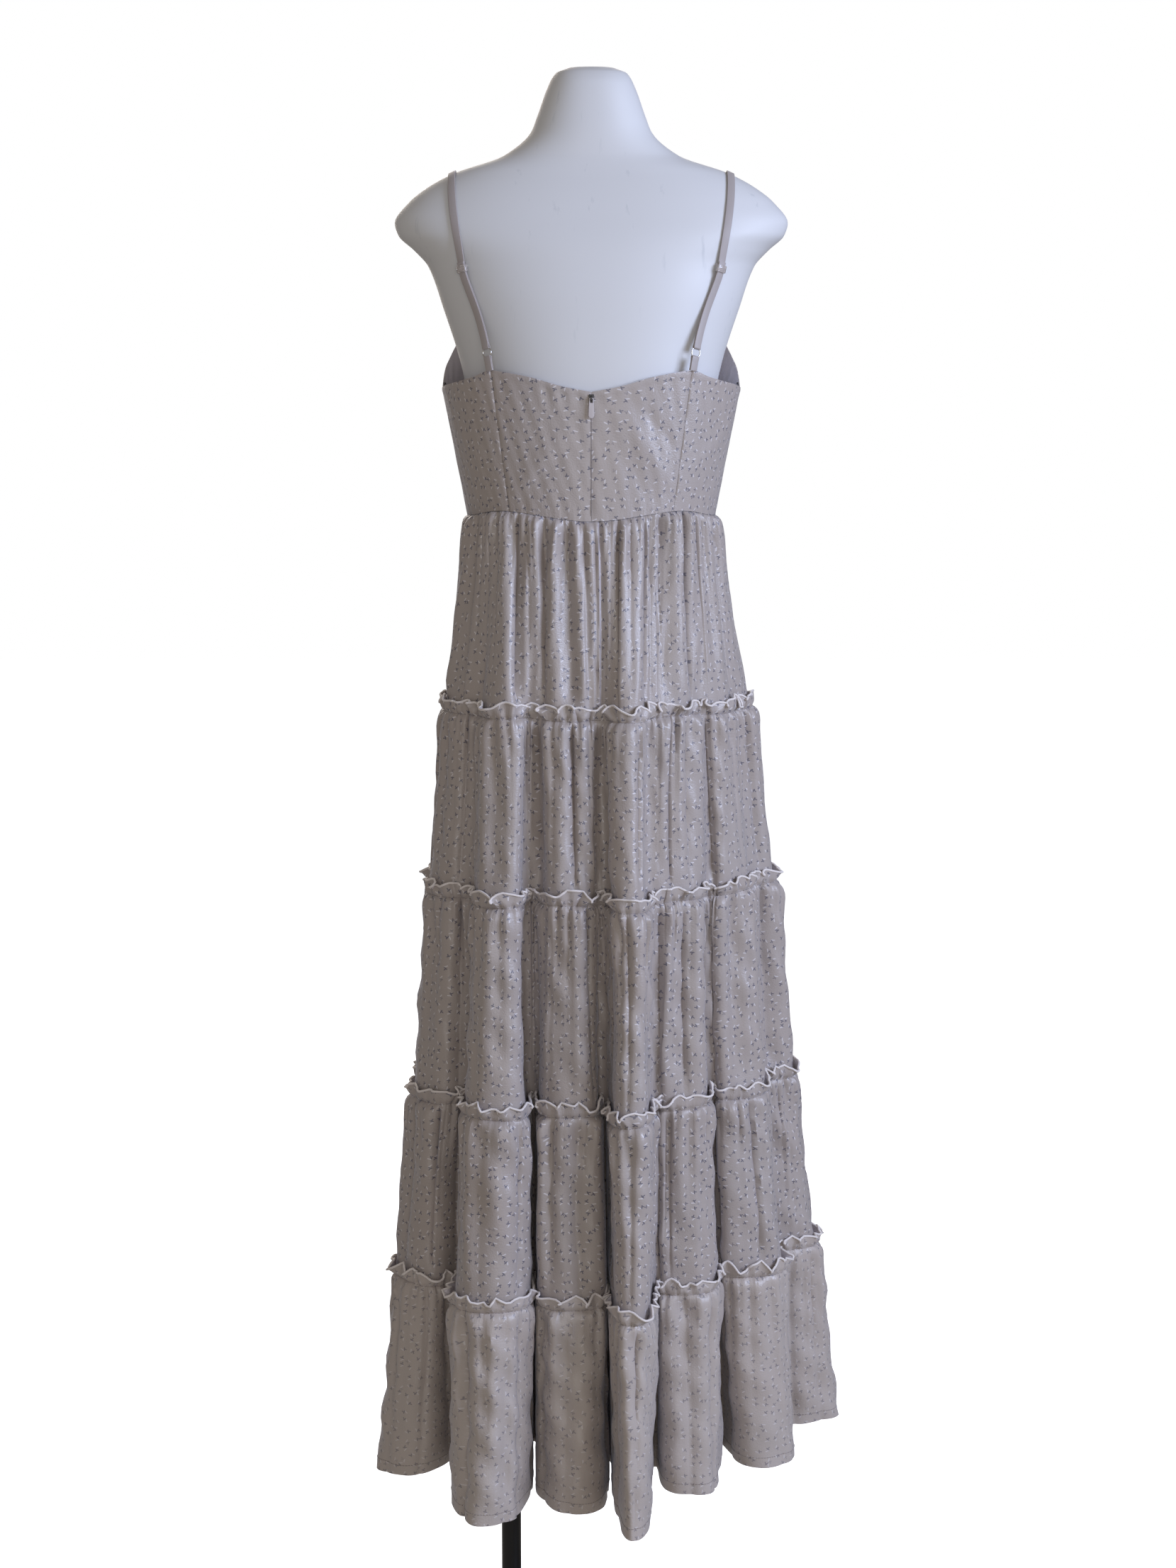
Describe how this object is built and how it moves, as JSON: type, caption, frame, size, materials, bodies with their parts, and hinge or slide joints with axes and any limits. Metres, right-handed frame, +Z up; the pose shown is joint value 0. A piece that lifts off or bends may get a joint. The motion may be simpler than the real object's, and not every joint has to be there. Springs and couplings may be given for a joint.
{
  "type": "tiered maxi dress on a dress form",
  "caption": "Sleeveless maxi slip dress of gathered tiers with ruffled headings, on a limbless dress form with a pole and round base.",
  "frame": {"origin": "on the floor under the middle of the dress form, on the flat underside of the stand's base", "axes": "+Z up the form; the back of the dress with its zip faces +Y, the front -Y, and the wearer's left is +X"},
  "size_m": [0.493, 0.516, 1.686],
  "materials": {
    "dress_crepe": "soft crepe with a faint satin sheen and a small sprig print",
    "form_shell": "matte white skin with a few faint scuffs",
    "stand_black": "black powder coat",
    "strap_metal": "polished pale nickel wire",
    "strap_clear": "clear moulded nylon",
    "zip_metal": "greige enamel to match the cloth"
  },
  "bodies": {
    "dress_and_form": {"bodice_back_centre_left": "dress_crepe", "bodice_back_centre_right": "dress_crepe", "bodice_back_side_left": "dress_crepe", "bodice_back_side_right": "dress_crepe", "bodice_front_centre": "dress_crepe", "bodice_front_side_left": "dress_crepe", "bodice_front_side_right": "dress_crepe", "dress_form": "form_shell", "stand_base": "stand_black", "stand_pole": "stand_black", "strap_left": "dress_crepe", "strap_right": "dress_crepe", "strap_ring_left": "strap_metal", "strap_ring_right": "strap_metal", "strap_slider_left": "strap_clear", "strap_slider_right": "strap_clear", "strap_tab_left": "dress_crepe", "strap_tab_right": "dress_crepe", "tier_1_back_left": "dress_crepe", "tier_1_back_right": "dress_crepe", "tier_1_front": "dress_crepe", "tier_2_back": "dress_crepe", "tier_2_front": "dress_crepe", "tier_3_back": "dress_crepe", "tier_3_front": "dress_crepe", "tier_4_back": "dress_crepe", "tier_4_front": "dress_crepe", "tier_5_back_left": "dress_crepe", "tier_5_back_right": "dress_crepe", "tier_5_front": "dress_crepe", "zip_slider": "zip_metal"},
    "zip_pull": {"zip_pull": "zip_metal"}
  },
  "joints": [
    {"name": "zip_pull_hinge", "type": "hinge", "parent": "dress_and_form", "child": "zip_pull", "pos_m": [0, 0.10309, 1.3585], "axis": [1, 0, 0], "range_deg": [0, 150]}
  ]
}
